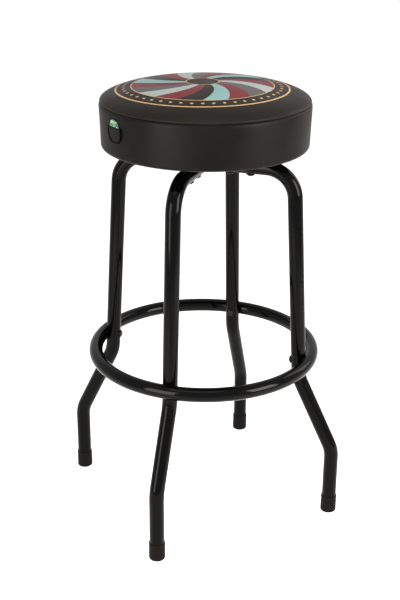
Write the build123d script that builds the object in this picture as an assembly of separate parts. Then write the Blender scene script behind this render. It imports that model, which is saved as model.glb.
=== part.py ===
from build123d import *
from build123d import SkipClean
from math import asin, atan, cos, degrees, pi, sqrt, tan
import os

# A round padded bar stool on four bent steel tubes, with a foot ring and a ball swivel under the seat.
# Millimetres, +Z up. The origin is on the floor, on the axis that the seat turns about.

# Leg tubes
LEG_TUBE_D = 25.4
LEG_WALL = 1.5
ARM_Z = 628.3           # centreline height of the arms under the seat
ARM_TAIL = 17.0         # arm left inside its inner bolt
ARM_RUN = 6.0           # straight arm left outside the swivel plate's corner
ARM_FLAT = 0.6          # depth of the flat pressed on the arm where the plate lies
KNEE_BEND = 50.0        # centreline radius from arm to upright
UPRIGHT_SPLAY = 21.5    # how far the upright leans outwards on its way down
SHIN_DROP = 32.3        # outward kick below the foot ring
SHIN_BEND = 65.0
FOOT_KICK = 65.3        # how far the kick carries the foot outwards
ANKLE_Z = 124.0         # height at which the kick ends and the vertical stub starts
ANKLE_BEND = 60.0
LEG_ANGLES = {"front_right": -45.0, "rear_right": 45.0, "rear_left": 135.0, "front_left": 225.0}

# Rubber foot caps
CAP_WALL = 1.1
CAP_FIT = 0.05
CAP_HEIGHT = 32.0
CAP_SOLE = 5.0
CAP_EDGE = 2.5
CAP_LIP = 0.5
WALL_SHARE = 0.8        # most of a wall that a rounding may take

# Foot ring
RING_Z = 290.0
RING_TUBE_D = 24.0
RING_WALL = 1.5
DIMPLE_DEPTH = 7.0      # how far the ring sinks into the saddle pressed in each leg
DIMPLE_FIT = 0.1

# Bolts, nuts and washers
BOLT_D = 6.0
BOLT_HEAD_D = 11.0
BOLT_HEAD_H = 2.4
BOLT_RIM_H = 0.8        # straight rim below the head's dome
BOLT_TOP_D = 6.8        # flat on top of the dome
SOCKET_FLATS = 4.0
SOCKET_DEPTH = 1.8
HOLE_FIT = 0.3
THREAD_FIT = 0.05
THREAD_PROUD = 1.5      # thread that shows past a nut
NUT_FLATS = 10.0
NUT_H = 5.0
NUT_ROOM = 2.0          # room between a nut or bolt head and the race beside it
SADDLE_D = 15.0
SADDLE_T = 0.8          # thinnest part of a saddle washer
SADDLE_FIT = 0.05
RIVET_NUT_D = 9.0
RIVET_NUT_LENGTH = 12.0
RIVET_NUT_BULGE_D = 11.2
RIVET_NUT_BULGE_L = 5.0
RIVET_NUT_FIT = 0.05

# Ball swivel
PLATE_T = 2.5
PLATE_CORNER = 12.0
PLATE_MARGIN = 3.0      # plate left outside the race
BALL_D = 8.0
BALL_COUNT = 24
RACE_R = 62.0
RACE_TOP_W = 14.0       # flat top of the pressed race
RACE_SLOPE_W = 3.0      # sloping side of the pressed race
RACE_RISE = 4.0
RACE_GROOVE = 1.2
RACE_FIT = 0.1
CAGE_T = 2.0
CAGE_RIM = 3.0
CAGE_FIT = 0.15
RIVET_D = 16.0
RIVET_HEAD_D = 26.0
RIVET_HEAD_T = 2.5
RIVET_PLAY = 0.1        # running gap under the rivet's upper head
PIVOT_FIT = 0.05

# Seat
SEAT_D = 350.0          # at the seam
BAND_TAPER = 2.0        # how much smaller the radius is at the bottom of the side band
BAND_H = 74.5
BAND_EDGE = 6.0         # rounding at the bottom of the side band
CROWN_RISE = 29.7       # seam to the top of the crown
CROWN_SINK = 0.5        # how far the dome's widest level lies below the seam
SEAM_LIP = 3.0          # height over which each panel turns in to the seam
SEAM_DEPTH = 3.0
VINYL_T = 1.2
HEM_W = 20.0            # vinyl turned under the board
FOAM_EDGE = 9.0         # foam between the board's edge and the side band
FOAM_FIT = 0.3
BOARD_T = 15.0
BOARD_ROOM = 4.0        # room round the rivet's upper head
DUST_COVER_T = 0.6
DUST_COVER_INSET = 5.0
DUST_COVER_ROOM = 4.0   # room round the swivel plate
TEE_FLANGE_D = 19.0
TEE_FLANGE_T = 1.2
TEE_BARREL_D = 8.0
TEE_FIT = 0.1
SCREW_SHORT = 3.0       # how far a seat screw stops below the board's top
STAPLE_COUNT = 28
STAPLE_W = 10.0
STAPLE_WIRE = 0.8
STAPLE_LEG = 6.0
STAPLE_INSET = 11.0     # staple from the board's edge

# Side pouch and plectrum
POUCH_ANGLE = 189.3
POUCH_DROP = 21.5       # mouth below the seam
POUCH_W = 37.0
POUCH_H = 26.5
POUCH_SIDE = 10.0       # straight side below the mouth
POUCH_TIP = 5.0
POUCH_RIM = 2.5
POUCH_T = 1.2
POUCH_ROOM = 2.4        # depth of the pocket
POUCH_FIT = 0.05
PLECTRUM_W = 25.5
PLECTRUM_H = 38.8       # before its corners are rounded
PLECTRUM_T = 1.0
PLECTRUM_SHOULDER = 10.0
PLECTRUM_BULGE = 1.5    # how far its sides bow outwards
PLECTRUM_ROUND = 4.0
PLECTRUM_FIT = 0.5

# Sizes worked out from the ones above
leg_r = LEG_TUBE_D / 2
ring_tube_r = RING_TUBE_D / 2
bolt_r = BOLT_D / 2
ball_r = BALL_D / 2
rivet_r = RIVET_D / 2
nut_corner_r = NUT_FLATS / sqrt(3)
race_half = RACE_TOP_W / 2 + RACE_SLOPE_W
inner_bolt_r = RACE_R - race_half - nut_corner_r - NUT_ROOM
outer_bolt_r = RACE_R + race_half + nut_corner_r + NUT_ROOM
screw_r = RACE_R + race_half + BOLT_HEAD_D / 2 + NUT_ROOM
plate_side = 2 * (RACE_R + race_half + PLATE_MARGIN)
plate_reach = plate_side / sqrt(2) - PLATE_CORNER * (sqrt(2) - 1)

shin_z = RING_Z - SHIN_DROP
upright_lean = atan(UPRIGHT_SPLAY / (ARM_Z - shin_z))
knee_run = KNEE_BEND * tan((pi / 2 - upright_lean) / 2)
arm_end_r = inner_bolt_r - ARM_TAIL
knee_r = plate_reach + ARM_RUN + knee_run
shin_r = knee_r + UPRIGHT_SPLAY
foot_r = shin_r + FOOT_KICK
leg_r_at_ring = knee_r + tan(upright_lean) * (ARM_Z - RING_Z)
leg_half_at_ring = leg_r / cos(upright_lean)
ring_r = leg_r_at_ring + leg_half_at_ring + ring_tube_r - DIMPLE_DEPTH

plate_z = ARM_Z + leg_r - ARM_FLAT
plate_top = plate_z + PLATE_T
ball_z = plate_top + RACE_RISE + ball_r - RACE_GROOVE
board_z = 2 * ball_z - plate_z
upper_plate_z = board_z - PLATE_T
board_top = board_z + BOARD_T

seat_z = board_z - VINYL_T
seam_z = seat_z + BAND_H
crown_z = seam_z + CROWN_RISE
seam_r = SEAT_D / 2
band_foot_r = seam_r - BAND_TAPER
board_r = band_foot_r - VINYL_T - FOAM_EDGE
hem_r = board_r - HEM_W
band_slope = BAND_TAPER / (BAND_H - BAND_EDGE - SEAM_LIP)

pouch_mouth_z = seam_z - POUCH_DROP
pouch_foot_z = pouch_mouth_z - POUCH_H
pocket_top_z = pouch_mouth_z + POUCH_RIM


def spin(*lines):
    """Solid turned about Z from an outline drawn as radius and height."""
    edges = [edge for line in lines for edge in line.edges()]
    return revolve(Plane.XZ * make_face(edges), Axis.Z)


def disc(radius, bottom, top):
    return Pos(0, 0, bottom) * Cylinder(radius, top - bottom, align=(Align.CENTER, Align.CENTER, Align.MIN))


def along_x(radius, start, end, height):
    """Round bar that points outwards, from one radius to another, at a height."""
    return Pos(start, 0, height) * Rot(0, 90, 0) * disc(radius, 0, end - start)


def around(shape, angles):
    return [Rot(0, 0, angle) * shape for angle in angles]


def group(solids):
    """Separate solids of one node."""
    return Compound(children=[solid for shape in solids for solid in shape.solids()])


def leg_rod(radius):
    """Solid bar along the leg's centreline: arm, knee, upright, kick and vertical stub."""
    corners = [
        (arm_end_r, 0, ARM_Z),
        (knee_r, 0, ARM_Z),
        (shin_r, 0, shin_z),
        (foot_r, 0, ANKLE_Z),
        (foot_r, 0, CAP_SOLE),
    ]
    path = FilletPolyline(*corners, radius=[KNEE_BEND, SHIN_BEND, ANKLE_BEND])
    start = Plane(origin=path @ 0, z_dir=path % 0)
    return sweep(start * Circle(radius), path=path)


def ring_bar(*radii):
    """Quarter of the foot ring, centred on a leg: a solid bar, or a tube if an inner radius is given."""
    section = Circle(radii[0])
    for inner in radii[1:]:
        section -= Circle(inner)
    quarter = revolve(Plane.XZ * Pos(ring_r, RING_Z) * section, Axis.Z, revolution_arc=90)
    return Rot(0, 0, -45) * quarter


def make_leg():
    """Bent tube with a flat under the plate, a pressed saddle for the ring and its bolt holes."""
    saddle_r = ring_tube_r + DIMPLE_FIT
    leg = leg_rod(leg_r) - ring_bar(saddle_r)
    leg -= leg_rod(leg_r - LEG_WALL) - ring_bar(saddle_r + LEG_WALL)
    flat_length = plate_reach + ARM_RUN - arm_end_r
    flat_align = (Align.MIN, Align.CENTER, Align.MIN)
    leg -= Pos(arm_end_r, 0, plate_z) * Box(flat_length, LEG_TUBE_D, LEG_TUBE_D, align=flat_align)
    for radius in (inner_bolt_r, outer_bolt_r):
        leg -= Pos(radius, 0, 0) * disc(bolt_r + HOLE_FIT, ARM_Z - LEG_TUBE_D, ARM_Z + LEG_TUBE_D)
    leg -= along_x(bolt_r + HOLE_FIT, leg_r_at_ring - LEG_TUBE_D, ring_r, RING_Z)
    return leg


def make_foot_cap():
    cap_r = leg_r + CAP_FIT + CAP_WALL
    cap = disc(cap_r, 0, CAP_HEIGHT)
    rims = cap.edges().filter_by(GeomType.CIRCLE).sort_by(Axis.Z)
    cap = fillet(rims[0], min(CAP_EDGE, WALL_SHARE * CAP_SOLE))
    rims = cap.edges().filter_by(GeomType.CIRCLE).sort_by(Axis.Z)
    cap = fillet(rims[-1], min(CAP_LIP, WALL_SHARE * CAP_WALL))
    cap -= disc(leg_r + CAP_FIT, CAP_SOLE, CAP_HEIGHT)
    return Pos(foot_r, 0, 0) * cap


def make_foot_ring():
    """Tube bent to a closed ring, drilled on its inner side for the rivet nuts."""
    quarter = ring_bar(ring_tube_r, ring_tube_r - RING_WALL)
    quarter -= along_x(RIVET_NUT_D / 2 + RIVET_NUT_FIT, ring_r - RING_TUBE_D, ring_r, RING_Z)
    quarters = around(quarter, LEG_ANGLES.values())
    with SkipClean():
        return quarters[0].fuse(*quarters[1:])


def make_bolt(length):
    """Button-head bolt along +Z, with its head below zero."""
    rim, top = (BOLT_HEAD_D / 2, -BOLT_RIM_H), (BOLT_TOP_D / 2, -BOLT_HEAD_H)
    dome = TangentArc(rim, top, tangent=(0, -1))
    outline = Polyline(top, (0, -BOLT_HEAD_H), (0, 0), (BOLT_HEAD_D / 2, 0), rim)
    socket = extrude(RegularPolygon(SOCKET_FLATS / sqrt(3), 6), SOCKET_DEPTH)
    head = spin(dome, outline) - Pos(0, 0, -BOLT_HEAD_H) * socket
    return head + disc(bolt_r, 0, length)


def make_nut():
    nut = extrude(RegularPolygon(nut_corner_r, 6), NUT_H)
    return nut - disc(bolt_r + THREAD_FIT, 0, NUT_H)


def make_arm_fasteners():
    """Bolts up through the arms, with saddle washers below and nuts on the lower plate."""
    seat = ARM_Z - leg_r - SADDLE_T
    bolt = make_bolt(plate_top + NUT_H + THREAD_PROUD - seat)
    washer = disc(SADDLE_D / 2, seat, ARM_Z) - disc(bolt_r + HOLE_FIT, seat, ARM_Z)
    bolts, washers, nuts = [], [], []
    for radius in (inner_bolt_r, outer_bolt_r):
        arm = along_x(leg_r + SADDLE_FIT, radius - SADDLE_D, radius + SADDLE_D, ARM_Z)
        bolts += around(Pos(radius, 0, seat) * bolt, LEG_ANGLES.values())
        washers += around(Pos(radius, 0, 0) * washer - arm, LEG_ANGLES.values())
        nuts += around(Pos(radius, 0, plate_top) * make_nut(), LEG_ANGLES.values())
    return group(bolts), group(washers), group(nuts)


def make_ring_fasteners():
    """Bolts outwards through the legs into rivet nuts in the ring, with saddle washers under the heads."""
    seat = leg_r_at_ring - leg_half_at_ring - SADDLE_T
    wall = ring_r - ring_tube_r
    nut_end = wall + RIVET_NUT_LENGTH
    bolt = Pos(seat, 0, RING_Z) * Rot(0, 90, 0) * make_bolt(nut_end + THREAD_PROUD - seat)
    washer = along_x(SADDLE_D / 2, seat, leg_r_at_ring, RING_Z)
    washer -= along_x(bolt_r + HOLE_FIT, seat, leg_r_at_ring, RING_Z)
    washer -= leg_rod(leg_r + SADDLE_FIT)
    shank = along_x(RIVET_NUT_D / 2, wall, nut_end, RING_Z) & ring_bar(ring_tube_r)
    bulge = along_x(RIVET_NUT_BULGE_D / 2, wall, wall + RING_WALL + RIVET_NUT_BULGE_L, RING_Z)
    bulge = bulge & ring_bar(ring_tube_r - RING_WALL - RIVET_NUT_FIT)
    nut = shank + bulge - along_x(bolt_r + THREAD_FIT, wall, nut_end, RING_Z)
    angles = LEG_ANGLES.values()
    return group(around(bolt, angles)), group(around(washer, angles)), group(around(nut, angles))


def make_plate_blank():
    """Square pressed plate with a raised ring, grooved on top for the balls."""
    top_half, top_z = RACE_TOP_W / 2, plate_top + RACE_RISE
    groove_r = ball_r + RACE_FIT
    groove_half = sqrt(groove_r**2 - (ball_z - top_z) ** 2)
    groove_sides = [(RACE_R - groove_half, top_z), (RACE_R + groove_half, top_z)]
    raised = [
        groove_sides[0],
        (RACE_R - top_half, top_z),
        (RACE_R - race_half, plate_top),
        (RACE_R - race_half, plate_z),
        (RACE_R - top_half, top_z - PLATE_T),
        (RACE_R + top_half, top_z - PLATE_T),
        (RACE_R + race_half, plate_z),
        (RACE_R + race_half, plate_top),
        (RACE_R + top_half, top_z),
        groove_sides[1],
    ]
    groove = ThreePointArc(groove_sides[0], (RACE_R, ball_z - groove_r), groove_sides[1])
    plate = extrude(Pos(0, 0, plate_z) * RectangleRounded(plate_side, plate_side, PLATE_CORNER), PLATE_T)
    plate -= disc(RACE_R + race_half, plate_z, plate_top) - disc(RACE_R - race_half, plate_z, plate_top)
    plate += spin(Polyline(*raised), groove)
    return plate - disc(rivet_r + PIVOT_FIT, plate_z, plate_top)


def make_lower_plate():
    plate = make_plate_blank()
    for radius in (inner_bolt_r, outer_bolt_r):
        hole = Pos(radius, 0, 0) * disc(bolt_r + HOLE_FIT, plate_z, plate_top)
        for cut in around(hole, LEG_ANGLES.values()):
            plate -= cut
    return plate


def make_upper_plate():
    plate = mirror(make_plate_blank(), about=Plane.XY.offset(ball_z))
    hole = Pos(screw_r, 0, 0) * disc(bolt_r + HOLE_FIT, upper_plate_z, board_z)
    for cut in around(hole, LEG_ANGLES.values()):
        plate -= cut
    return plate


def make_swivel_rivet():
    lower_head = disc(RIVET_HEAD_D / 2, plate_z - RIVET_HEAD_T, plate_z)
    upper_head_z = board_z + RIVET_PLAY
    upper_head = disc(RIVET_HEAD_D / 2, upper_head_z, upper_head_z + RIVET_HEAD_T)
    return lower_head + disc(rivet_r, plate_z, upper_head_z) + upper_head


def ball_angles():
    return [360.0 * step / BALL_COUNT for step in range(BALL_COUNT)]


def make_balls():
    return group(around(Pos(RACE_R, 0, ball_z) * Sphere(ball_r), ball_angles()))


def make_ball_cage():
    bottom, top = ball_z - CAGE_T / 2, ball_z + CAGE_T / 2
    pocket_r = ball_r + CAGE_FIT
    half = pocket_r + CAGE_RIM
    cage = disc(RACE_R + half, bottom, top) - disc(RACE_R - half, bottom, top)
    for pocket in around(Pos(RACE_R, 0, 0) * disc(pocket_r, bottom, top), ball_angles()):
        cage -= pocket
    return cage


def make_seat_screws():
    length = board_top - SCREW_SHORT - upper_plate_z
    screw = Pos(screw_r, 0, upper_plate_z) * make_bolt(length)
    return group(around(screw, LEG_ANGLES.values()))


def make_tee_nuts():
    flange = disc(TEE_FLANGE_D / 2, board_top - TEE_FLANGE_T, board_top)
    nut = flange + disc(TEE_BARREL_D / 2, board_z + TEE_FIT, board_top)
    nut -= disc(bolt_r + THREAD_FIT, board_z, board_top)
    return group(around(Pos(screw_r, 0, 0) * nut, LEG_ANGLES.values()))


def make_staples():
    """Wire staples that hold the dust cover and the turned-under vinyl to the board."""
    crown_z0 = seat_z - DUST_COVER_T - STAPLE_WIRE
    leg_length = STAPLE_WIRE + DUST_COVER_T + VINYL_T + STAPLE_LEG
    align = (Align.CENTER, Align.CENTER, Align.MIN)
    staple = Box(STAPLE_WIRE, STAPLE_W, STAPLE_WIRE, align=align)
    for side in (-1, 1):
        leg_y = side * (STAPLE_W - STAPLE_WIRE) / 2
        staple += Pos(0, leg_y, 0) * Box(STAPLE_WIRE, STAPLE_WIRE, leg_length, align=align)
    placed = Pos(board_r - STAPLE_INSET, 0, crown_z0) * staple
    return group(around(placed, [360.0 * step / STAPLE_COUNT for step in range(STAPLE_COUNT)]))


def make_seat_board(staples):
    board = disc(board_r, board_z, board_top)
    board -= disc(RIVET_HEAD_D / 2 + BOARD_ROOM, board_z, board_top)
    hole = disc(TEE_BARREL_D / 2 + TEE_FIT, board_z, board_top)
    hole += disc(TEE_FLANGE_D / 2 + TEE_FIT, board_top - TEE_FLANGE_T, board_top)
    for cut in around(Pos(screw_r, 0, 0) * hole, LEG_ANGLES.values()):
        board -= cut
    return board - staples.solids()


def make_dust_cover(staples):
    bottom = seat_z - DUST_COVER_T
    cover = disc(board_r - DUST_COVER_INSET, bottom, seat_z)
    cover -= disc(plate_reach + DUST_COVER_ROOM, bottom, seat_z)
    return cover - staples.solids()


def band_line(inset, bottom_r):
    """Side band's outline, moved inwards, from the turned-under hem up to the seam."""
    corner_r, corner_z = band_foot_r - BAND_EDGE, seat_z + BAND_EDGE
    side_top = (seam_r - inset, seam_z - SEAM_LIP)
    return [
        Line((bottom_r, seat_z + inset), (corner_r, seat_z + inset)),
        CenterArc((corner_r, corner_z), BAND_EDGE - inset, -90, 90),
        Line((band_foot_r - inset, corner_z), side_top),
        TangentArc(side_top, (seam_r - SEAM_DEPTH - inset, seam_z), tangent=(0, 1)),
    ]


def crown(inset):
    """Solid under the top cover's outline, moved inwards: an oval dome that turns in to the seam."""
    across, rise = seam_r - inset, CROWN_RISE + CROWN_SINK - inset
    lip_turn = asin((SEAM_LIP + CROWN_SINK) / rise)
    lip = (across * cos(lip_turn), seam_z + SEAM_LIP)
    dome_arc = degrees(pi / 2 - lip_turn)
    return spin(
        EllipticalCenterArc((0, seam_z - CROWN_SINK), across, rise, start_angle=90, arc_size=-dome_arc),
        Polyline(lip, (across - SEAM_DEPTH, seam_z), (0, seam_z), (0, crown_z - inset)),
    )


def make_side_band(staples):
    seam_edge = seam_r - SEAM_DEPTH
    ends = [
        Line((hem_r, seat_z), (hem_r, seat_z + VINYL_T)),
        Line((seam_edge, seam_z), (seam_edge - VINYL_T, seam_z)),
    ]
    return spin(*band_line(0, hem_r), *band_line(VINYL_T, hem_r), *ends) - staples.solids()


def make_top_cover():
    return crown(0) - crown(VINYL_T)


def make_foam():
    """Foam pad that fills the cover and wraps the board's edge."""
    inset = VINYL_T + FOAM_FIT
    recess_r = board_r + FOAM_FIT
    seam_edge = (seam_r - SEAM_DEPTH - inset, seam_z)
    lower_edge = (recess_r, seat_z + inset)
    recess = Polyline(seam_edge, (0, seam_z), (0, board_top), (recess_r, board_top), lower_edge)
    return spin(*band_line(inset, recess_r), recess) + crown(inset)


def band_radius(height):
    return band_foot_r + band_slope * (height - seat_z - BAND_EDGE)


def side_shell(inner, outer, bottom, top):
    """Shell that lies along the side band, between two distances out from it."""
    solids = []
    for offset in (inner, outer):
        low_r, high_r = band_radius(bottom) + offset, band_radius(top) + offset
        solids.append(spin(Polyline((0, bottom), (low_r, bottom), (high_r, top), (0, top), close=True)))
    return solids[1] - solids[0]


def shield(width, mouth_z, foot_z, side):
    """Pouch outline: level mouth, straight sides, then arcs down to a rounded point."""
    half, bend_z = width / 2, mouth_z - side
    lines = [
        Polyline((-half, bend_z), (-half, mouth_z), (half, mouth_z), (half, bend_z)),
        TangentArc((half, bend_z), (0, foot_z), tangent=(0, -1)),
        TangentArc((-half, bend_z), (0, foot_z), tangent=(0, -1)),
    ]
    face = make_face([edge for line in lines for edge in line.edges()])
    point = face.vertices().sort_by(Axis.Y)[0]
    return fillet(point, POUCH_TIP)


def outwards(face):
    """Bar of this outline that points out along X through the side band."""
    return extrude(Plane.YZ * face, SEAT_D)


def pocket_outline():
    """Inside of the pouch, drawn on past its open mouth."""
    width = POUCH_W - 2 * POUCH_RIM
    return shield(width, pocket_top_z, pouch_foot_z + POUCH_RIM, POUCH_SIDE + POUCH_RIM)


def make_side_pouch():
    pouch = side_shell(POUCH_FIT, POUCH_ROOM + POUCH_T, pouch_foot_z, pouch_mouth_z)
    pouch = pouch & outwards(shield(POUCH_W, pouch_mouth_z, pouch_foot_z, POUCH_SIDE))
    pocket = side_shell(0, POUCH_ROOM, pouch_foot_z, pocket_top_z) & outwards(pocket_outline())
    return Rot(0, 0, POUCH_ANGLE) * (pouch - pocket)


def make_plectrum():
    """Rounded triangle that stands on the pocket's floor with its wide end up."""
    half, shoulder = PLECTRUM_W / 2, PLECTRUM_H - PLECTRUM_SHOULDER
    left, right, tip = (-half, shoulder), (half, shoulder), (0, 0)
    lines = [
        ThreePointArc(left, (0, PLECTRUM_H), right),
        SagittaArc(right, tip, PLECTRUM_BULGE),
        SagittaArc(tip, left, PLECTRUM_BULGE),
    ]
    face = make_face([edge for line in lines for edge in line.edges()])
    face = fillet(face.vertices(), PLECTRUM_ROUND)
    floor_z = pocket_outline().bounding_box().min.Y + PLECTRUM_FIT
    face = Pos(0, floor_z - face.bounding_box().min.Y) * face
    gap = (POUCH_ROOM - PLECTRUM_T) / 2
    blank = side_shell(gap, gap + PLECTRUM_T, floor_z, floor_z + PLECTRUM_H) & outwards(face)
    return Rot(0, 0, POUCH_ANGLE) * blank


def make_nodes():
    arm_bolts, arm_washers, arm_nuts = make_arm_fasteners()
    ring_bolts, ring_washers, ring_nuts = make_ring_fasteners()
    staples = make_staples()
    nodes = {
        "foot_ring": make_foot_ring(),
        "foot_ring_bolts": ring_bolts,
        "foot_ring_saddle_washers": ring_washers,
        "foot_ring_rivet_nuts": ring_nuts,
        "arm_bolts": arm_bolts,
        "arm_saddle_washers": arm_washers,
        "arm_nuts": arm_nuts,
        "swivel_lower_plate": make_lower_plate(),
        "swivel_rivet": make_swivel_rivet(),
        "swivel_balls": make_balls(),
        "swivel_ball_cage": make_ball_cage(),
        "swivel_upper_plate": make_upper_plate(),
        "seat_screws": make_seat_screws(),
        "seat_tee_nuts": make_tee_nuts(),
        "seat_board": make_seat_board(staples),
        "seat_foam": make_foam(),
        "seat_top_cover": make_top_cover(),
        "seat_side_band": make_side_band(staples),
        "seat_dust_cover": make_dust_cover(staples),
        "seat_staples": staples,
        "side_pouch": make_side_pouch(),
        "plectrum": make_plectrum(),
    }
    leg, cap = make_leg(), make_foot_cap()
    for name, angle in LEG_ANGLES.items():
        nodes["leg_" + name] = Rot(0, 0, angle) * leg
        nodes["foot_cap_" + name] = Rot(0, 0, angle) * cap
    return nodes


os.makedirs("parts", exist_ok=True)
for node, shape in make_nodes().items():
    export_step(shape, f"parts/{node}.step")
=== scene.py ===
from math import asin, cos, pi, radians, sin, tau

import bmesh
import bpy
from mathutils import Matrix, Vector


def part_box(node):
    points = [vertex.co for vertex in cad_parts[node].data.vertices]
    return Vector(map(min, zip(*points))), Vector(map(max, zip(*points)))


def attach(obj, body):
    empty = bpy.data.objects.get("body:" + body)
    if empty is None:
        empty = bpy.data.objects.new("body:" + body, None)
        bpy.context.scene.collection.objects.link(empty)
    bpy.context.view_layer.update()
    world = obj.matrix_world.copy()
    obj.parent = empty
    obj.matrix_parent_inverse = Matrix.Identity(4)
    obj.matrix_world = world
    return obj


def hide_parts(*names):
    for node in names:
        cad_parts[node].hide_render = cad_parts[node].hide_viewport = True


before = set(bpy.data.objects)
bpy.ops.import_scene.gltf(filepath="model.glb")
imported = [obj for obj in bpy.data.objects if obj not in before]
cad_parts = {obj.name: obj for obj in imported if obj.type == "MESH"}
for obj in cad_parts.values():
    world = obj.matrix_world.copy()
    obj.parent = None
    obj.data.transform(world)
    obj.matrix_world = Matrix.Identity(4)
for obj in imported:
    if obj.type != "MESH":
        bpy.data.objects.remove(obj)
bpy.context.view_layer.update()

# Legs
# Four steel tubes, each bent from one length: an arm under the seat, a leaning upright, an outward kick
# and a short vertical foot. They are stoved in gloss black, and the foot ring sits in a saddle in each.
MM = 0.001
CORNERS = ("front_left", "front_right", "rear_left", "rear_right")


def linear(hex_code):
    """A colour written as sRGB hex, as the linear values that a shader takes."""
    shares = [int(hex_code[i:i + 2], 16) / 255 for i in (1, 3, 5)]
    return [c / 12.92 if c <= 0.04045 else ((c + 0.055) / 1.055) ** 2.4 for c in shares] + [1.0]


def add_node(tree, kind, inputs=None, **settings):
    """Adds a node with its settings, and sets or links the inputs that are named."""
    node = tree.nodes.new(kind)
    for setting, value in settings.items():
        setattr(node, setting, value)
    for socket, value in (inputs or {}).items():
        if isinstance(value, bpy.types.NodeSocket):
            tree.links.new(value, node.inputs[socket])
        else:
            node.inputs[socket].default_value = value
    return node


def new_finish(name, even_values):
    """A material with the values that are the same all over: its tree, shader and Object coordinates."""
    finish = bpy.data.materials.new(name)
    finish.use_nodes = True
    tree = finish.node_tree
    shader = tree.nodes["Principled BSDF"]
    for socket, value in even_values.items():
        shader.inputs[socket].default_value = value
    return finish, tree, shader, add_node(tree, "ShaderNodeTexCoord").outputs["Object"]


def drive(tree, shader, **outputs):
    """Links node outputs to the shader's inputs of the same names."""
    for socket, output in outputs.items():
        tree.links.new(output, shader.inputs[socket.replace("_", " ")])


def dress(finish, *names):
    """Gives CAD nodes their finish."""
    for name in names:
        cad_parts[name].data.materials[0] = finish


def stoved_enamel(name, gloss, scuffs):
    """Stoved enamel: deep black under a hard gloss, with the faint ripple of sprayed paint and patches
    that hands and shoes have dulled, so that reflections break softly along the tubes."""
    ripple_width, patch_width = 4.0 * MM, 45.0 * MM
    finish, tree, shader, place = new_finish(name, {"IOR": 1.5, "Specular IOR Level": gloss})
    patches = add_node(
        tree, "ShaderNodeTexNoise", {"Vector": place, "Scale": 1 / patch_width, "Detail": 6.0}
    ).outputs["Fac"]
    dulling = add_node(
        tree,
        "ShaderNodeMapRange",
        {"Value": patches, "From Min": 0.4, "From Max": 0.65, "To Min": 0.07, "To Max": 0.1 + scuffs},
    ).outputs["Result"]
    black = add_node(
        tree,
        "ShaderNodeMix",
        {0: patches, 6: linear("#020202"), 7: linear("#060505")},
        data_type="RGBA",
    ).outputs[2]
    ripple = add_node(tree, "ShaderNodeTexNoise", {"Vector": place, "Scale": 1 / ripple_width})
    relief = add_node(
        tree, "ShaderNodeBump", {"Height": ripple.outputs["Fac"], "Strength": 0.1, "Distance": 0.1 * MM}
    ).outputs["Normal"]
    drive(tree, shader, Base_Color=black, Roughness=dulling, Normal=relief)
    return finish


tube_enamel = stoved_enamel("stoved_black_enamel", gloss=0.074, scuffs=0.04)
dress(tube_enamel, *("leg_" + corner for corner in CORNERS))

# Foot caps
# Moulded black rubber cups pushed over the ends of the legs. Each has a rounded sole edge and a thin lip
# at the top. Rubber is matt, and greys a little where it rubs along the floor.
SCUFF_HEIGHT, PIT_WIDTH = 7.0 * MM, 3.0 * MM
rubber, tree, shader, place = new_finish("moulded_black_rubber", {"IOR": 1.52, "Specular IOR Level": 0.06})
height = add_node(tree, "ShaderNodeSeparateXYZ", {0: place}).outputs["Z"]
pits = add_node(tree, "ShaderNodeTexNoise", {"Vector": place, "Scale": 1 / PIT_WIDTH, "Detail": 5.0})
scuffed = add_node(
    tree,
    "ShaderNodeMapRange",
    {"Value": height, "From Min": 0.0, "From Max": SCUFF_HEIGHT, "To Min": 0.75, "To Max": 0.0},
).outputs["Result"]
scuffed = add_node(
    tree, "ShaderNodeMath", {0: scuffed, 1: pits.outputs["Fac"]}, operation="MULTIPLY"
).outputs["Value"]
greyed = add_node(
    tree, "ShaderNodeMix", {0: scuffed, 6: linear("#0d0c0b"), 7: linear("#221f1c")}, data_type="RGBA"
).outputs[2]
matt = add_node(
    tree, "ShaderNodeMapRange", {"Value": pits.outputs["Fac"], "To Min": 0.5, "To Max": 0.7}
).outputs["Result"]
relief = add_node(
    tree, "ShaderNodeBump", {"Height": pits.outputs["Fac"], "Strength": 0.2, "Distance": 0.2 * MM}
).outputs["Normal"]
drive(tree, shader, Base_Color=greyed, Roughness=matt, Normal=relief)
dress(rubber, *("foot_cap_" + corner for corner in CORNERS))

# Foot ring
# One steel tube rolled to a circle and welded, in the same enamel, and bolted into the legs' saddles.
# Shoes rub along it, which keeps its gloss a little brighter and more even than that of the legs.
dress(stoved_enamel("shoe_worn_black_enamel", gloss=0.095, scuffs=0.02), "foot_ring")

# Bolts, saddle washers and nuts of the frame
# Button-head bolts of black-oxide steel draw each leg to the ring and each arm to the swivel's plate.
# Black plastic saddle washers fit the bolt heads to the round tubes, and the nuts are zinc plated.

# Black oxide: an oily blue-black skin that turns brown in small smears where it has thinned.
oxide, tree, shader, place = new_finish("black_oxide_steel", {"Metallic": 1.0})
smear = add_node(tree, "ShaderNodeTexNoise", {"Vector": place, "Scale": 1 / (2.5 * MM), "Detail": 6.0})
oily = add_node(
    tree, "ShaderNodeMapRange", {"Value": smear.outputs["Fac"], "To Min": 0.18, "To Max": 0.4}
).outputs["Result"]
bluing = add_node(
    tree,
    "ShaderNodeMix",
    {0: smear.outputs["Fac"], 6: linear("#1c1c1c"), 7: linear("#34302c")},
    data_type="RGBA",
).outputs[2]
drive(tree, shader, Base_Color=bluing, Roughness=oily)
dress(oxide, "foot_ring_bolts", "arm_bolts")

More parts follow.
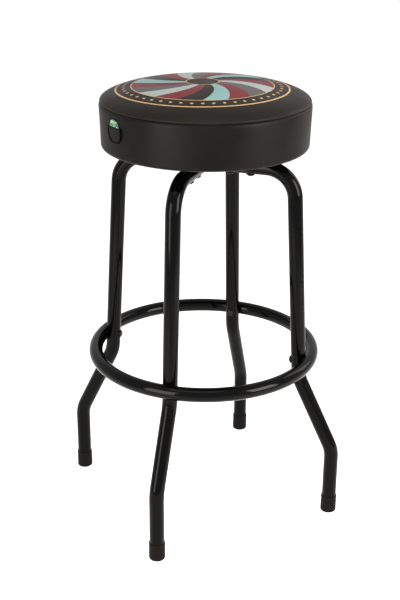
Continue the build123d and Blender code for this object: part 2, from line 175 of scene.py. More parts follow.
# Moulded nylon: black, with a low sheen that the marks of its flow break up.
washer_plastic, tree, shader, place = new_finish(
    "moulded_black_nylon", {"IOR": 1.53, "Specular IOR Level": 0.06}
)
flow = add_node(tree, "ShaderNodeTexNoise", {"Vector": place, "Scale": 1 / (1.5 * MM), "Detail": 3.0})
shine = add_node(
    tree, "ShaderNodeMapRange", {"Value": flow.outputs["Fac"], "To Min": 0.35, "To Max": 0.55}
).outputs["Result"]
tone = add_node(
    tree,
    "ShaderNodeMix",
    {0: flow.outputs["Fac"], 6: linear("#0a0a0a"), 7: linear("#131211")},
    data_type="RGBA",
).outputs[2]
drive(tree, shader, Base_Color=tone, Roughness=shine)
dress(washer_plastic, "foot_ring_saddle_washers", "arm_saddle_washers")

# Zinc plate: bright grey with a cloudy spangle and a faint straw tint where the passivate is thicker.
zinc, tree, shader, place = new_finish("zinc_plated_steel", {"Metallic": 1.0})
spangle = add_node(tree, "ShaderNodeTexVoronoi", {"Vector": place, "Scale": 1 / (2.0 * MM)})
cloud = add_node(tree, "ShaderNodeTexNoise", {"Vector": place, "Scale": 1 / (9.0 * MM), "Detail": 4.0})
straw = add_node(
    tree,
    "ShaderNodeMix",
    {0: cloud.outputs["Fac"], 6: linear("#b4b8bd"), 7: linear("#c9c1a6")},
    data_type="RGBA",
).outputs[2]
grainy = add_node(
    tree, "ShaderNodeMapRange", {"Value": spangle.outputs["Distance"], "To Min": 0.28, "To Max": 0.5}
).outputs["Result"]
drive(tree, shader, Base_Color=straw, Roughness=grainy)
dress(zinc, "foot_ring_rivet_nuts", "arm_nuts")

# Swivel
# Two square pressed plates in the same enamel, with a ring of balls in a nylon cage between them and one
# headed rivet through the middle that lets the upper plate turn.
dress(tube_enamel, "swivel_lower_plate", "swivel_upper_plate")
dress(zinc, "swivel_rivet")

# Bearing steel: ground and polished, with a thin film of grease that clouds the mirror.
polished, tree, shader, place = new_finish("polished_bearing_steel", {"Metallic": 1.0})
grease = add_node(tree, "ShaderNodeTexNoise", {"Vector": place, "Scale": 1 / (4.0 * MM), "Detail": 2.0})
film = add_node(
    tree, "ShaderNodeMapRange", {"Value": grease.outputs["Fac"], "To Min": 0.08, "To Max": 0.3}
).outputs["Result"]
gleam = add_node(
    tree,
    "ShaderNodeMix",
    {0: grease.outputs["Fac"], 6: linear("#d3d5d8"), 7: linear("#c4bfae")},
    data_type="RGBA",
).outputs[2]
drive(tree, shader, Base_Color=gleam, Roughness=film)
dress(polished, "swivel_balls")

# Natural nylon: cream and waxy, with milky clouds where it cooled unevenly.
cage_nylon, tree, shader, place = new_finish("natural_nylon", {"IOR": 1.53, "Specular IOR Level": 0.45})
milk = add_node(tree, "ShaderNodeTexNoise", {"Vector": place, "Scale": 1 / (12.0 * MM), "Detail": 3.0})
creamy = add_node(
    tree,
    "ShaderNodeMix",
    {0: milk.outputs["Fac"], 6: linear("#d9d3c2"), 7: linear("#ece7da")},
    data_type="RGBA",
).outputs[2]
soft = add_node(
    tree, "ShaderNodeMapRange", {"Value": milk.outputs["Fac"], "To Min": 0.4, "To Max": 0.6}
).outputs["Result"]
drive(tree, shader, Base_Color=creamy, Roughness=soft)
dress(cage_nylon, "swivel_ball_cage")

# Seat board
# A disc of birch plywood, coloured dark brown. Four screws come up through the swivel's upper
# plate into tee nuts that were pressed in from above.
PLY = 1.4 * MM
GRAIN, GRAIN_LENGTH = 1.2 * MM, 20.0 * MM
WAVE_TURN = 20.0  # radians that Blender's wave texture turns in a metre at a scale of 1

# Plywood, dark brown, no known stain: streaked by paler grain, with darker lines of glue between the plies.
plywood, tree, shader, place = new_finish("dark_birch_plywood", {"IOR": 1.5, "Specular IOR Level": 0.1})
stretch = add_node(
    tree, "ShaderNodeMapping", {"Vector": place, "Scale": (1.0, GRAIN / GRAIN_LENGTH, 1.0)}
).outputs["Vector"]
grain = add_node(
    tree, "ShaderNodeTexNoise", {"Vector": stretch, "Scale": 1 / GRAIN, "Detail": 6.0}
).outputs["Fac"]
plies = add_node(
    tree,
    "ShaderNodeTexWave",
    {"Vector": place, "Scale": tau / (2 * PLY) / WAVE_TURN, "Distortion": 0.4},
    bands_direction="Z",
).outputs["Fac"]
faces = add_node(
    tree, "ShaderNodeMix", {0: grain, 6: linear("#241a12"), 7: linear("#3a2b1e")}, data_type="RGBA"
).outputs[2]
edges = add_node(
    tree, "ShaderNodeMix", {0: plies, 6: linear("#17110c"), 7: faces}, data_type="RGBA"
).outputs[2]
dry = add_node(tree, "ShaderNodeMapRange", {"Value": grain, "To Min": 0.5, "To Max": 0.75}).outputs["Result"]
drive(tree, shader, Base_Color=edges, Roughness=dry)
dress(plywood, "seat_board")
dress(zinc, "seat_screws", "seat_tee_nuts")

# Foam pad
# A moulded block of polyurethane foam, crowned on top, that fills the covers and wraps the board's edge.
# It is open-celled, so it is matt and pitted all over.
seat_low, seat_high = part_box("seat_side_band")
board_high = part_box("seat_board")[1]
crown_low, crown_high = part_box("seat_top_cover")
SEAM_DEPTH = 3.0 * MM
SEAM_LIP = 3.0 * MM
CROWN_SINK = 0.5 * MM
BAND_TAPER = 2.0 * MM
BAND_EDGE = 6.0 * MM
VINYL = 1.2 * MM
FOAM_GAP = 0.4 * MM
FOAM_SINK = 3.0 * MM  # room that the crown of the foam leaves under the cover
seam_r, seam_z, seat_z = seat_high.x, crown_low.z, seat_low.z
foot_r = seam_r - BAND_TAPER
seam_edge_r = seam_r - SEAM_DEPTH
dome_z = seam_z - CROWN_SINK


def quarter(start, end, steps, level_first):
    """Points of a quarter oval from start to end, level at its start or upright there."""
    points = []
    for step in range(steps + 1):
        turn = pi / 2 * step / steps
        across, up = (sin(turn), 1 - cos(turn)) if level_first else (1 - cos(turn), sin(turn))
        points.append((start[0] + (end[0] - start[0]) * across, start[1] + (end[1] - start[1]) * up))
    return points


def dome_line(inset, rings):
    """The crown's oval outline, moved inwards, from the top down to where it turns in to the seam."""
    across, rise = seam_r - inset, crown_high.z - dome_z - inset
    lip_turn = asin((SEAM_LIP + CROWN_SINK) / rise)
    turns = [pi / 2 + (lip_turn - pi / 2) * ring / rings for ring in range(rings + 1)]
    return [(across * cos(turn), dome_z + rise * sin(turn)) for turn in turns]


def lathe(line, steps):
    """A skin turned about the seat's axis from (radius, height) points."""
    shape = bmesh.new()
    verts = [shape.verts.new((radius, 0.0, height)) for radius, height in line]
    edges = [shape.edges.new(pair) for pair in zip(verts, verts[1:])]
    bmesh.ops.spin(
        shape, geom=verts + edges, axis=(0, 0, 1), cent=(0, 0, 0), angle=tau, steps=steps, use_merge=True
    )
    bmesh.ops.remove_doubles(shape, verts=shape.verts, dist=0.01 * MM)
    bmesh.ops.recalc_face_normals(shape, faces=shape.faces)
    return shape


def as_piece(name, shape, finish, body):
    """Makes a shape an object with its finish, that rides on a body of the frame."""
    mesh = bpy.data.meshes.new(name)
    shape.to_mesh(mesh)
    shape.free()
    mesh.shade_smooth()
    mesh.materials.append(finish)
    piece = bpy.data.objects.new(name, mesh)
    bpy.context.scene.collection.objects.link(piece)
    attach(piece, body)
    return piece


def smoothed(piece, levels):
    """Rounds a skin off between its points."""
    rounding = piece.modifiers.new("rounding", "SUBSURF")
    rounding.levels = rounding.render_levels = levels


# Urethane foam: cream that has yellowed in patches, dull and full of cells. The cells are under 1 mm, and
# are drawn at 2 mm so that they show.
CELL, YELLOW_PATCH = 2.0 * MM, 60.0 * MM
foam_finish, tree, shader, place = new_finish(
    "moulded_urethane_foam", {"IOR": 1.45, "Specular IOR Level": 0.1}
)
cells = add_node(tree, "ShaderNodeTexVoronoi", {"Vector": place, "Scale": 1 / CELL}).outputs["Distance"]
yellowing = add_node(tree, "ShaderNodeTexNoise", {"Vector": place, "Scale": 1 / YELLOW_PATCH}).outputs["Fac"]
aged = add_node(
    tree, "ShaderNodeMix", {0: yellowing, 6: linear("#e6dcb4"), 7: linear("#cdbb80")}, data_type="RGBA"
).outputs[2]
pitted = add_node(
    tree, "ShaderNodeMapRange", {"Value": cells, "To Min": 0.8, "To Max": 0.95}
).outputs["Result"]
relief = add_node(
    tree, "ShaderNodeBump", {"Height": cells, "Strength": 0.5, "Distance": 0.6 * MM}
).outputs["Normal"]
drive(tree, shader, Base_Color=aged, Roughness=pitted, Normal=relief)

FOAM_RINGS, FOAM_STEPS = 14, 96
skin = VINYL + FOAM_GAP
recess_r, recess_z = board_high.x + FOAM_GAP, board_high.z + FOAM_GAP
foam_line = dome_line(skin + FOAM_SINK, FOAM_RINGS)
foam_line += [(seam_edge_r - skin, seam_z), (seam_r - skin, seam_z - SEAM_LIP)]
foam_line += [(foot_r - skin, seat_z + BAND_EDGE), (foot_r - BAND_EDGE, seat_z + skin)]
foam_line += [(recess_r, seat_z + skin), (recess_r, recess_z), (0.0, recess_z)]
foam = as_piece("foam_pad", lathe(foam_line, FOAM_STEPS), foam_finish, "seat")
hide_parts("seat_foam")

# Side band
# A strip of black upholstery vinyl sewn to the top cover, drawn down over the foam's edge, turned under
# the board and stapled there. It is taut, with slight waves where the foam behind it is uneven.
HEM = 20.0 * MM
SEAM_ALLOWANCE = 5.0 * MM
BAND_ROLL = 6.0 * MM
BAND_STEPS = 160
WAVE_DEPTH = 0.5 * MM
# each wave's count round the seat, its start and its share of the depth
WAVES = ((5, 0.4, 0.45), (8, 2.1, 0.3), (13, 4.4, 0.25))
hem_r = board_high.x - HEM


def vinyl_grain(tree, place):
    """Upholstery vinyl: a soft pebbled grain that scatters the light, and broad patches that are
    shinier. The real grain is about 1 mm across, and is drawn at 2.2 mm so that it shows."""
    pebbles = add_node(
        tree, "ShaderNodeTexVoronoi", {"Vector": place, "Scale": 1 / (2.2 * MM)}, feature="SMOOTH_F1"
    ).outputs["Distance"]
    polish = add_node(
        tree, "ShaderNodeTexNoise", {"Vector": place, "Scale": 1 / (70.0 * MM), "Detail": 4.0}
    ).outputs["Fac"]
    gloss = add_node(
        tree,
        "ShaderNodeMapRange",
        {"Value": polish, "From Min": 0.3, "From Max": 0.7, "To Min": 0.36, "To Max": 0.5},
    ).outputs["Result"]
    relief = add_node(
        tree, "ShaderNodeBump", {"Height": pebbles, "Strength": 0.25, "Distance": 0.12 * MM}, invert=True
    ).outputs["Normal"]
    return polish, gloss, relief


def thicken(piece, thickness, offset):
    """Gives a skin its thickness: all of it inwards at an offset of -1, half to each side at 0."""
    wall = piece.modifiers.new("wall", "SOLIDIFY")
    wall.thickness, wall.offset = thickness, offset


vinyl, tree, shader, place = new_finish("black_upholstery_vinyl", {"IOR": 1.5, "Specular IOR Level": 0.065})
polish, gloss, relief = vinyl_grain(tree, place)
dye = add_node(
    tree, "ShaderNodeMix", {0: polish, 6: linear("#0b0a09"), 7: linear("#131110")}, data_type="RGBA"
).outputs[2]
drive(tree, shader, Base_Color=dye, Roughness=gloss, Normal=relief)

WALL_ROWS, EDGE_ROWS, HEM_ROWS = 10, 5, 3
wall_top, wall_foot = (seam_r, seam_z - BAND_ROLL), (foot_r, seat_z + BAND_EDGE)
hem_start = (foot_r - BAND_EDGE, seat_z)
band_line = [(seam_edge_r - SEAM_ALLOWANCE, seam_z)]
band_line += quarter((seam_edge_r, seam_z), wall_top, EDGE_ROWS, level_first=True)
for row in range(1, WALL_ROWS):
    share = row / WALL_ROWS
    band_line.append(tuple(a + (b - a) * share for a, b in zip(wall_top, wall_foot)))
band_line += quarter(wall_foot, hem_start, EDGE_ROWS, level_first=False)
for row in range(1, HEM_ROWS + 1):
    band_line.append((hem_start[0] + (hem_r - hem_start[0]) * row / HEM_ROWS, seat_z))
shape = lathe(band_line, BAND_STEPS)
wall_height = wall_top[1] - wall_foot[1]
for vert in shape.verts:
    up = (vert.co.z - wall_foot[1]) / wall_height
    if 0 < up < 1:
        turn = Vector((1, 0)).angle_signed(vert.co.xy)
        swell = sum(share * sin(count * turn + start) for count, start, share in WAVES)
        vert.co.xy += vert.co.xy.normalized() * WAVE_DEPTH * swell * sin(pi * up)
band = as_piece("side_band", shape, vinyl, "seat")
thicken(band, VINYL, -1.0)
smoothed(band, 1)
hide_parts("seat_side_band")

# Top cover
# A disc of printed vinyl, sewn to the side band and drawn tight over the crowned foam. The print is a
# pinwheel of flat inks inside a border with a tan line.
CROWN_RINGS, CROWN_STEPS = 26, 160
SIM_FRAMES = 20
PRESSURE, CLOTH_MASS = 4.0, 20.0
REACH = 2.5 * MM
SEWN_HEIGHT = 0.3 * MM  # the cover is held by the thread up to here above the seam
PRINT_CENTRE = (-2.5 * MM, 6.5 * MM, 0.0)  # the print was sewn in a little off the seat's axis
LINE_R, LINE_W = 142.2 * MM, 3.0 * MM
FIELD_R, FIELD_LINE_W = 117.0 * MM, 1.8 * MM
HUB_R = 27.0 * MM
DOT_R, DOT_RING_R, DOT_COUNT = 2.6 * MM, 129.5 * MM, 48
RAYS, TWIST = 18, 5.5  # the twist is in radians a metre
INKS = ("#74292c", "#1f1b19", "#89b3b3", "#74292c", "#5c5759", "#aab5b2")
GROUND, TAN = linear("#211d1b"), linear("#cfab78")

# Printed vinyl: flat inks with crisp edges on the same pebbled grain as the band's.
print_finish, tree, shader, place = new_finish(
    "printed_upholstery_vinyl", {"IOR": 1.5, "Specular IOR Level": 0.045}
)
polish, gloss, relief = vinyl_grain(tree, place)
place = add_node(tree, "ShaderNodeVectorMath", {0: place, 1: PRINT_CENTRE}, operation="SUBTRACT").outputs[0]
level = add_node(
    tree, "ShaderNodeVectorMath", {0: place, 1: (1.0, 1.0, 0.0)}, operation="MULTIPLY"
).outputs[0]
radius = add_node(tree, "ShaderNodeVectorMath", {0: level}, operation="LENGTH").outputs["Value"]
axes = add_node(tree, "ShaderNodeSeparateXYZ", {0: place}).outputs
angle = add_node(tree, "ShaderNodeMath", {0: axes["Y"], 1: axes["X"]}, operation="ARCTAN2").outputs[0]
swept = add_node(
    tree, "ShaderNodeMath", {0: radius, 1: TWIST, 2: angle}, operation="MULTIPLY_ADD"
).outputs[0]
cycle = add_node(
    tree, "ShaderNodeMath", {0: swept, 1: RAYS / len(INKS) / tau}, operation="MULTIPLY"
).outputs[0]
cycle = add_node(tree, "ShaderNodeMath", {0: cycle}, operation="FRACT").outputs[0]
rays = add_node(tree, "ShaderNodeValToRGB", {"Fac": cycle})
rays.color_ramp.interpolation = "CONSTANT"
stops = rays.color_ramp.elements
stops.remove(stops[1])
stops[0].color = linear(INKS[0])
for step, ink in enumerate(INKS[1:], 1):
    stops.new(step / len(INKS)).color = linear(ink)
dot_turn = add_node(tree, "ShaderNodeMath", {0: angle, 1: DOT_COUNT / tau}, operation="MULTIPLY").outputs[0]
dot_turn = add_node(tree, "ShaderNodeMath", {0: dot_turn}, operation="FRACT").outputs[0]
dot_side = add_node(tree, "ShaderNodeMath", {0: dot_turn, 1: 0.5}, operation="SUBTRACT").outputs[0]
dot_side = add_node(
    tree, "ShaderNodeMath", {0: dot_side, 1: tau * DOT_RING_R / DOT_COUNT}, operation="MULTIPLY"
).outputs[0]
dot_out = add_node(tree, "ShaderNodeMath", {0: radius, 1: DOT_RING_R}, operation="SUBTRACT").outputs[0]
dot_place = add_node(tree, "ShaderNodeCombineXYZ", {0: dot_side, 1: dot_out}).outputs[0]
dot_near = add_node(tree, "ShaderNodeVectorMath", {0: dot_place}, operation="LENGTH").outputs["Value"]
dots = add_node(tree, "ShaderNodeMath", {0: dot_near, 1: DOT_R}, operation="LESS_THAN").outputs[0]
in_line = add_node(
    tree, "ShaderNodeMath", {0: radius, 1: LINE_R, 2: LINE_W / 2}, operation="COMPARE"
).outputs[0]
in_field = add_node(tree, "ShaderNodeMath", {0: radius, 1: FIELD_R}, operation="LESS_THAN").outputs[0]
field_edge = add_node(
    tree, "ShaderNodeMath", {0: radius, 1: FIELD_R, 2: FIELD_LINE_W / 2}, operation="COMPARE"
).outputs[0]
hub_edge = add_node(
    tree, "ShaderNodeMath", {0: radius, 1: HUB_R, 2: FIELD_LINE_W / 2}, operation="COMPARE"
).outputs[0]
in_hub = add_node(tree, "ShaderNodeMath", {0: radius, 1: HUB_R}, operation="LESS_THAN").outputs[0]
in_print = add_node(tree, "ShaderNodeMath", {0: radius, 1: LINE_R}, operation="LESS_THAN").outputs[0]
colour = add_node(
    tree, "ShaderNodeMix", {0: polish, 6: linear("#1a1715"), 7: linear("#231f1c")}, data_type="RGBA"
).outputs[2]
for mask, ink in (
    (in_print, GROUND),
    (in_field, rays.outputs["Color"]),
    (in_hub, GROUND),
    (hub_edge, TAN),
    (field_edge, TAN),
    (dots, TAN),
    (in_line, TAN),
):
    colour = add_node(tree, "ShaderNodeMix", {0: mask, 6: colour, 7: ink}, data_type="RGBA").outputs[2]
drive(tree, shader, Base_Color=colour, Roughness=gloss, Normal=relief)


def draw_tight(piece, sewn):
    """Lets the foam press a round cover out as cloth, sewn at the vertices named. The cloth is given a great
    mass, so that it swells slowly and evenly, and each ring of the cover keeps its mean move to 0.01 mm,
    so that each run gives the same."""
    piece.vertex_groups.new(name="sewn").add(sewn, 1.0, "REPLACE")
    cloth = piece.modifiers.new("cloth", "CLOTH")
    cloth.settings.vertex_group_mass = "sewn"
    cloth.settings.mass = CLOTH_MASS
    cloth.settings.use_pressure = True
    cloth.settings.uniform_pressure_force = PRESSURE
    cloth.settings.effector_weights.gravity = 0.0
    cloth.collision_settings.use_collision = False
    for step in range(1, SIM_FRAMES + 1):
        bpy.context.scene.frame_set(step)
    pressed = piece.evaluated_get(bpy.context.evaluated_depsgraph_get()).to_mesh()
    ends = [vert.co.copy() for vert in pressed.vertices]
    piece.modifiers.remove(cloth)
    rings = {}
    for vert, end in zip(piece.data.vertices, ends):
        rings.setdefault((round(vert.co.xy.length, 5), round(vert.co.z, 5)), []).append((vert, end))
    for ring in rings.values():
        out = sum(end.xy.length - vert.co.xy.length for vert, end in ring) / len(ring)
        up = sum(end.z - vert.co.z for vert, end in ring) / len(ring)
        out, up = (round(min(max(move, -REACH), REACH), 5) for move in (out, up))
        for vert, end in ring:
            vert.co += Vector((*vert.co.xy.normalized() * out, up))
    bpy.context.scene.frame_set(1)


crown_line = dome_line(0.0, CROWN_RINGS)
crown_line += quarter(crown_line[-1], (seam_edge_r, seam_z), EDGE_ROWS, level_first=False)[1:]
crown_line.append((seam_edge_r - SEAM_ALLOWANCE, seam_z))
shape = lathe(crown_line, CROWN_STEPS)
cover = as_piece("top_cover", shape, print_finish, "seat")
draw_tight(cover, [vert.index for vert in cover.data.vertices if vert.co.z < seam_z + SEWN_HEIGHT])
thicken(cover, VINYL, -1.0)
smoothed(cover, 1)
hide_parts("seat_top_cover")

# Staples and dust cover
# Under the seat a ring of black cambric hides the board and the hem. Wire staples hold it, and its inner
# edge hangs a little slack round the swivel.
COVER_ROUNDS, COVER_STEPS = 6, 112
CAMBRIC, FIBRE, THREAD = 0.5 * MM, 1.5 * MM, 2.0 * MM

# Cambric: black, fuzzy and quite dull, faded along its threads. They are about 0.5 mm apart, and are drawn
# at 2 mm so that they show.
cambric, tree, shader, place = new_finish("black_cambric", {"IOR": 1.45, "Specular IOR Level": 0.08})
fibres = add_node(
    tree, "ShaderNodeTexNoise", {"Vector": place, "Scale": 1 / FIBRE, "Detail": 8.0}
).outputs["Fac"]
weft = add_node(
    tree, "ShaderNodeTexWave", {"Vector": place, "Scale": tau / THREAD / WAVE_TURN, "Distortion": 1.0}
).outputs["Fac"]
fuzz = add_node(tree, "ShaderNodeMath", {0: fibres, 1: weft}, operation="MULTIPLY").outputs[0]
faded = add_node(
    tree, "ShaderNodeMix", {0: fuzz, 6: linear("#0f0f0f"), 7: linear("#262524")}, data_type="RGBA"
).outputs[2]
dull = add_node(
    tree, "ShaderNodeMapRange", {"Value": fibres, "To Min": 0.8, "To Max": 1.0}
).outputs["Result"]
relief = add_node(
    tree, "ShaderNodeBump", {"Height": fuzz, "Strength": 0.4, "Distance": 0.2 * MM}
).outputs["Normal"]
drive(tree, shader, Base_Color=faded, Roughness=dull, Normal=relief)

SAG = 1.4 * MM
SAG_WAVES, WAVE_SHARE = 14, 0.25
HOLE_R = 105.1 * MM
cambric_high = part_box("seat_dust_cover")[1]
cover_r = cambric_high.x
cover_line = []
for row in range(COVER_ROUNDS + 1):
    cover_line.append((cover_r + (HOLE_R - cover_r) * row / COVER_ROUNDS, cambric_high.z - CAMBRIC))
shape = lathe(cover_line, COVER_STEPS)
for vert in shape.verts:
    inward = (cover_r - vert.co.xy.length) / (cover_r - HOLE_R)
    turn = Vector((1, 0)).angle_signed(vert.co.xy)
    vert.co.z -= SAG * inward ** 2 * (1 - WAVE_SHARE + WAVE_SHARE * sin(SAG_WAVES * turn))
dust_cover = as_piece("cambric_ring", shape, cambric, "seat")
thicken(dust_cover, CAMBRIC, 0.0)
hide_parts("seat_dust_cover")
dress(zinc, "seat_staples")

# Side pouch
# A shield-shaped pocket of the same vinyl, sewn to the side band by a bound edge. Its mouth is open and
# stands off the band far enough for a plectrum.
POUCH_ANGLE = radians(189.3)
POUCH_W, POUCH_SIDE = 37.0 * MM, 10.0 * MM
POUCH_RIM = 2.5 * MM
ARC_POINTS = 10
ABOVE = 8.0 * MM  # the panel is drawn past its mouth, and cut off there
SLICE = 3.0 * MM
# how far in and out each step goes, from the sewn edge to the face of the panel
PUFF = ((0.6 * MM, 1.6 * MM), (0.9 * MM, 1.5 * MM), (3.0 * MM, 0.5 * MM))
pouch_low, pouch_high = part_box("side_pouch")
mouth_z, pouch_foot_z = pouch_high.z, pouch_low.z
band_slope = BAND_TAPER / (wall_top[1] - wall_foot[1])


def shield(half, foot_z, top_z):
    """One half of the pouch's outline, from its top down the straight side and round to its point."""
    bend_z = mouth_z - POUCH_SIDE
    drop = bend_z - foot_z
    arc_r = (half ** 2 + drop ** 2) / (2 * half)
    last = asin(drop / arc_r)
    turns = [last * step / ARC_POINTS for step in range(ARC_POINTS + 1)]
    line = [(half - arc_r + arc_r * cos(turn), bend_z - arc_r * sin(turn)) for turn in turns]
    return [(half, top_z)] + line


def wrap(verts):
    """Bends a flat piece, drawn as (along, out, height), round the side of the seat."""
    for vert in verts:
        along, out, up = vert.co
        wall_r = foot_r + band_slope * (up - wall_foot[1])
        turn = POUCH_ANGLE + along / wall_r
        vert.co = ((wall_r + out) * cos(turn), (wall_r + out) * sin(turn), up)


def cut_across(shape, spot, normal, clear=False):
    """Cuts a shape along a plane, and drops what lies beyond it if asked to."""
    bmesh.ops.bisect_plane(
        shape,
        geom=shape.verts[:] + shape.edges[:] + shape.faces[:],
        dist=0.0001 * MM,
        plane_co=spot,
        plane_no=normal,
        clear_outer=clear,
    )


right = shield(POUCH_W / 2 - POUCH_RIM / 2, pouch_foot_z + POUCH_RIM / 2, mouth_z + ABOVE)
outline = right + [(-along, up) for along, up in reversed(right[:-1])]
shape = bmesh.new()
panel = shape.faces.new([shape.verts.new((along, 0.0, up)) for along, up in outline])
if panel.normal.y < 0:
    panel.normal_flip()
for inset, lift in PUFF:
    bmesh.ops.inset_region(shape, faces=[panel], thickness=inset, depth=lift)
cut_across(shape, (0, 0, mouth_z), (0, 0, 1), clear=True)
for step in range(1, int(POUCH_W / SLICE)):
    cut_across(shape, (-POUCH_W / 2 + step * SLICE, 0, 0), (1, 0, 0))
for step in range(1, int((mouth_z - pouch_foot_z) / SLICE)):
    cut_across(shape, (0, 0, mouth_z - step * SLICE), (0, 0, 1))
wrap(shape.verts)
bmesh.ops.recalc_face_normals(shape, faces=shape.faces)
pouch = as_piece("pouch_panel", shape, vinyl, "seat")
thicken(pouch, VINYL, -1.0)
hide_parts("side_pouch")

# The binding is a round cord in a strip of vinyl, sewn round the pouch from one end of the mouth to the
# other. It stands proud of the panel and is smoother and blacker than the rest.
BINDING_R = 1.35 * MM
BINDING_STAND = 1.4 * BINDING_R  # from the band to the cord's middle
binding_vinyl, tree, shader, place = new_finish(
    "black_vinyl_piping", {"IOR": 1.5, "Specular IOR Level": 0.02}
)
worn = add_node(
    tree, "ShaderNodeTexNoise", {"Vector": place, "Scale": 1 / (3.0 * MM), "Detail": 4.0}
).outputs["Fac"]
blacked = add_node(
    tree, "ShaderNodeMix", {0: worn, 6: linear("#040404"), 7: linear("#0a0909")}, data_type="RGBA"
).outputs[2]
sheen = add_node(
    tree, "ShaderNodeMapRange", {"Value": worn, "To Min": 0.3, "To Max": 0.45}
).outputs["Result"]
drive(tree, shader, Base_Color=blacked, Roughness=sheen)

side = shield(POUCH_W / 2 - BINDING_R, pouch_foot_z + BINDING_R, mouth_z)
cord = bpy.data.curves.new("binding_line", "CURVE")
cord.dimensions, cord.bevel_depth, cord.bevel_resolution, cord.use_fill_caps = "3D", BINDING_R, 3, True
run = side + [(-along, up) for along, up in reversed(side[:-1])]
stitched = cord.splines.new("POLY")
stitched.points.add(len(run) - 1)
for point, (along, up) in zip(stitched.points, run):
    point.co = (along, BINDING_STAND, up, 1.0)
holder = bpy.data.objects.new("binding_line", cord)
shape = bmesh.new()
shape.from_mesh(bpy.data.meshes.new_from_object(holder))
bpy.data.objects.remove(holder)
wrap(shape.verts)
bmesh.ops.remove_doubles(shape, verts=shape.verts, dist=0.001 * MM)
bmesh.ops.recalc_face_normals(shape, faces=shape.faces)
binding = as_piece("pouch_binding", shape, binding_vinyl, "seat")

# Plectrum
# A rounded triangle punched from pearly green celluloid sheet. It stands in the pouch with its wide end
# up, and slides out along the seat's side.
SWIRL = 5.0 * MM
PEARL = ((0.43, "#0c1c11"), (0.48, "#175338"), (0.53, "#338e66"), (0.58, "#41a074"), (0.64, "#b8a46c"))

# Celluloid: deep and bright greens swirled with straw, under a hard clear surface that catches the light.
celluloid, tree, shader, place = new_finish(
    "green_celluloid", {"IOR": 1.5, "Specular IOR Level": 0.5, "Coat Weight": 0.4, "Coat Roughness": 0.1}
)
swirl = add_node(
    tree,
    "ShaderNodeTexNoise",
    {"Vector": place, "Scale": 1 / SWIRL, "Detail": 3.0, "Distortion": 1.5},
).outputs["Fac"]
pearl = add_node(tree, "ShaderNodeValToRGB", {"Fac": swirl})
stops = pearl.color_ramp.elements
stops.remove(stops[1])
stops[0].position, stops[0].color = PEARL[0][0], linear(PEARL[0][1])
for position, tint in PEARL[1:]:
    stops.new(position).color = linear(tint)
lustre = add_node(
    tree, "ShaderNodeMapRange", {"Value": swirl, "To Min": 0.15, "To Max": 0.35}
).outputs["Result"]
drive(tree, shader, Base_Color=pearl.outputs["Color"], Roughness=lustre)
dress(celluloid, "plectrum")

# Studio
# A pale paper floor that runs out of the picture, in a white surround. Four softboxes light the stool:
# one overhead, one on each side of the camera, and one behind on the right that rims the seat and legs.
FLOOR_SIDE = 40.0
FLOOR_LIFT = 0.66  # glow that only the picture sees, so that the floor is white but keeps the shadow
PAPER_CLOUD = 0.4
shape = bmesh.new()
bmesh.ops.create_grid(shape, x_segments=1, y_segments=1, size=FLOOR_SIDE / 2)
mesh = bpy.data.meshes.new("floor")
shape.to_mesh(mesh)
shape.free()
floor = bpy.data.objects.new("floor", mesh)
bpy.context.scene.collection.objects.link(floor)


def in_picture(tree):
    """1 where the camera sees a surface itself, mirrored in metal or through something clear, and else 0."""
    sight = add_node(tree, "ShaderNodeLightPath").outputs
    seen = sight["Is Camera Ray"]
    for way in ("Is Glossy Ray", "Is Transmission Ray"):
        seen = add_node(tree, "ShaderNodeMath", {0: seen, 1: sight[way]}, operation="MAXIMUM").outputs[0]
    return seen


# Studio paper: matt and nearly white, with broad clouds too faint to notice.
paper, tree, shader, place = new_finish(
    "pale_floor", {"Roughness": 0.9, "Specular IOR Level": 0.0, "Emission Color": linear("#ffffff")}
)
fibre = add_node(tree, "ShaderNodeTexNoise", {"Vector": place, "Scale": 1 / PAPER_CLOUD}).outputs["Fac"]
pale = add_node(
    tree, "ShaderNodeMix", {0: fibre, 6: linear("#f6f6f6"), 7: linear("#fafafa")}, data_type="RGBA"
).outputs[2]
drive(tree, shader, Base_Color=pale)
mesh.materials.append(paper)
lift = add_node(
    tree, "ShaderNodeMath", {0: in_picture(tree), 1: FLOOR_LIFT}, operation="MULTIPLY"
).outputs[0]
drive(tree, shader, Emission_Strength=lift)

SEAT_MIDDLE = Vector((0.0, 0.0, 0.55))
CAMERA_AZIMUTH = radians(-26.644)
WARM_WHITE = (1.0, 0.95, 0.9)


def lamp(name, watts, size, around, distance, height):
    """A softbox of a width and height, that faces the stool from an angle round it, 0 being the camera's."""
    light = bpy.data.lights.new(name, "AREA")
    light.energy, light.color = watts, WARM_WHITE
    light.shape, light.size, light.size_y = "RECTANGLE", *size
    holder = bpy.data.objects.new(name, light)
    bpy.context.scene.collection.objects.link(holder)
    turn = CAMERA_AZIMUTH + radians(around)
    holder.location = (sin(turn) * distance, -cos(turn) * distance, height)
    holder.rotation_euler = (SEAT_MIDDLE - holder.location).to_track_quat("-Z", "Y").to_euler()


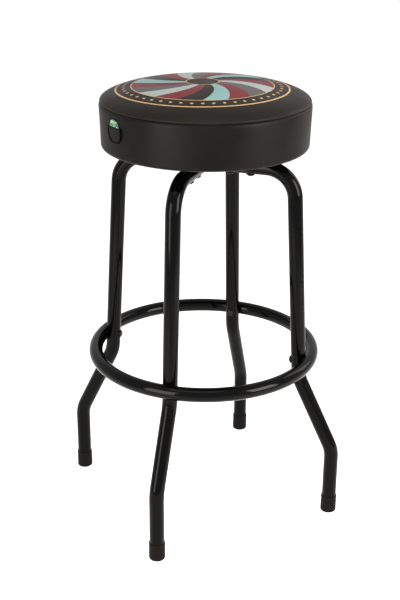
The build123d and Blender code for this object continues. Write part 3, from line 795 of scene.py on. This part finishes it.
lamp("overhead_softbox", watts=8.0, size=(1.3, 1.3), around=-15.0, distance=0.7, height=2.4)
lamp("left_softbox", watts=27.0, size=(0.75, 1.1), around=-39.0, distance=1.5, height=0.72)
lamp("right_softbox", watts=42.0, size=(0.8, 1.0), around=57.0, distance=1.6, height=0.95)
lamp("rim_softbox", watts=7.0, size=(0.6, 1.0), around=118.0, distance=1.6, height=1.3)

AMBIENT = 0.4
world = bpy.data.worlds.new("white_surround")
bpy.context.scene.world = world
world.use_nodes = True
tree = world.node_tree
tree.nodes.clear()
glow = add_node(tree, "ShaderNodeBackground", {"Color": linear("#ffffff"), "Strength": AMBIENT})
white = add_node(tree, "ShaderNodeBackground", {"Color": linear("#ffffff"), "Strength": 1.0})
surround = add_node(
    tree, "ShaderNodeMixShader", {0: in_picture(tree), 1: glow.outputs[0], 2: white.outputs[0]}
)
add_node(tree, "ShaderNodeOutputWorld", {"Surface": surround.outputs[0]})
bpy.context.scene.view_settings.view_transform = "Standard"

# Camera
# A lens of about 67 mm on 36 mm film, standing where the photograph was taken from. Its place, dip and
# roll were fitted to the edges of the legs, ring and seat.
PICTURE_LONG_SIDE = 600
FOCAL_PIXELS = 1109.7
CAMERA_DISTANCE, CAMERA_HEIGHT = 1.8031, 1.1202
TURN, DIP, ROLL = radians(0.222), radians(22.36), radians(0.374)
lens = bpy.data.cameras.new("camera")
lens.sensor_width = 36.0
lens.lens = FOCAL_PIXELS * lens.sensor_width / PICTURE_LONG_SIDE
camera = bpy.data.objects.new("camera", lens)
bpy.context.scene.collection.objects.link(camera)
bpy.context.scene.camera = camera
heading = CAMERA_AZIMUTH + TURN
ahead = Vector((-sin(heading) * cos(DIP), cos(heading) * cos(DIP), -sin(DIP)))
level_right = ahead.cross(Vector((0, 0, 1))).normalized()
level_up = level_right.cross(ahead)
right_axis = level_right * cos(ROLL) + level_up * sin(ROLL)
up_axis = level_up * cos(ROLL) - level_right * sin(ROLL)
eye = Vector((sin(CAMERA_AZIMUTH) * CAMERA_DISTANCE, -cos(CAMERA_AZIMUTH) * CAMERA_DISTANCE, CAMERA_HEIGHT))
turned = Matrix((right_axis, up_axis, -ahead)).transposed().to_4x4()
camera.matrix_world = Matrix.Translation(eye) @ turned
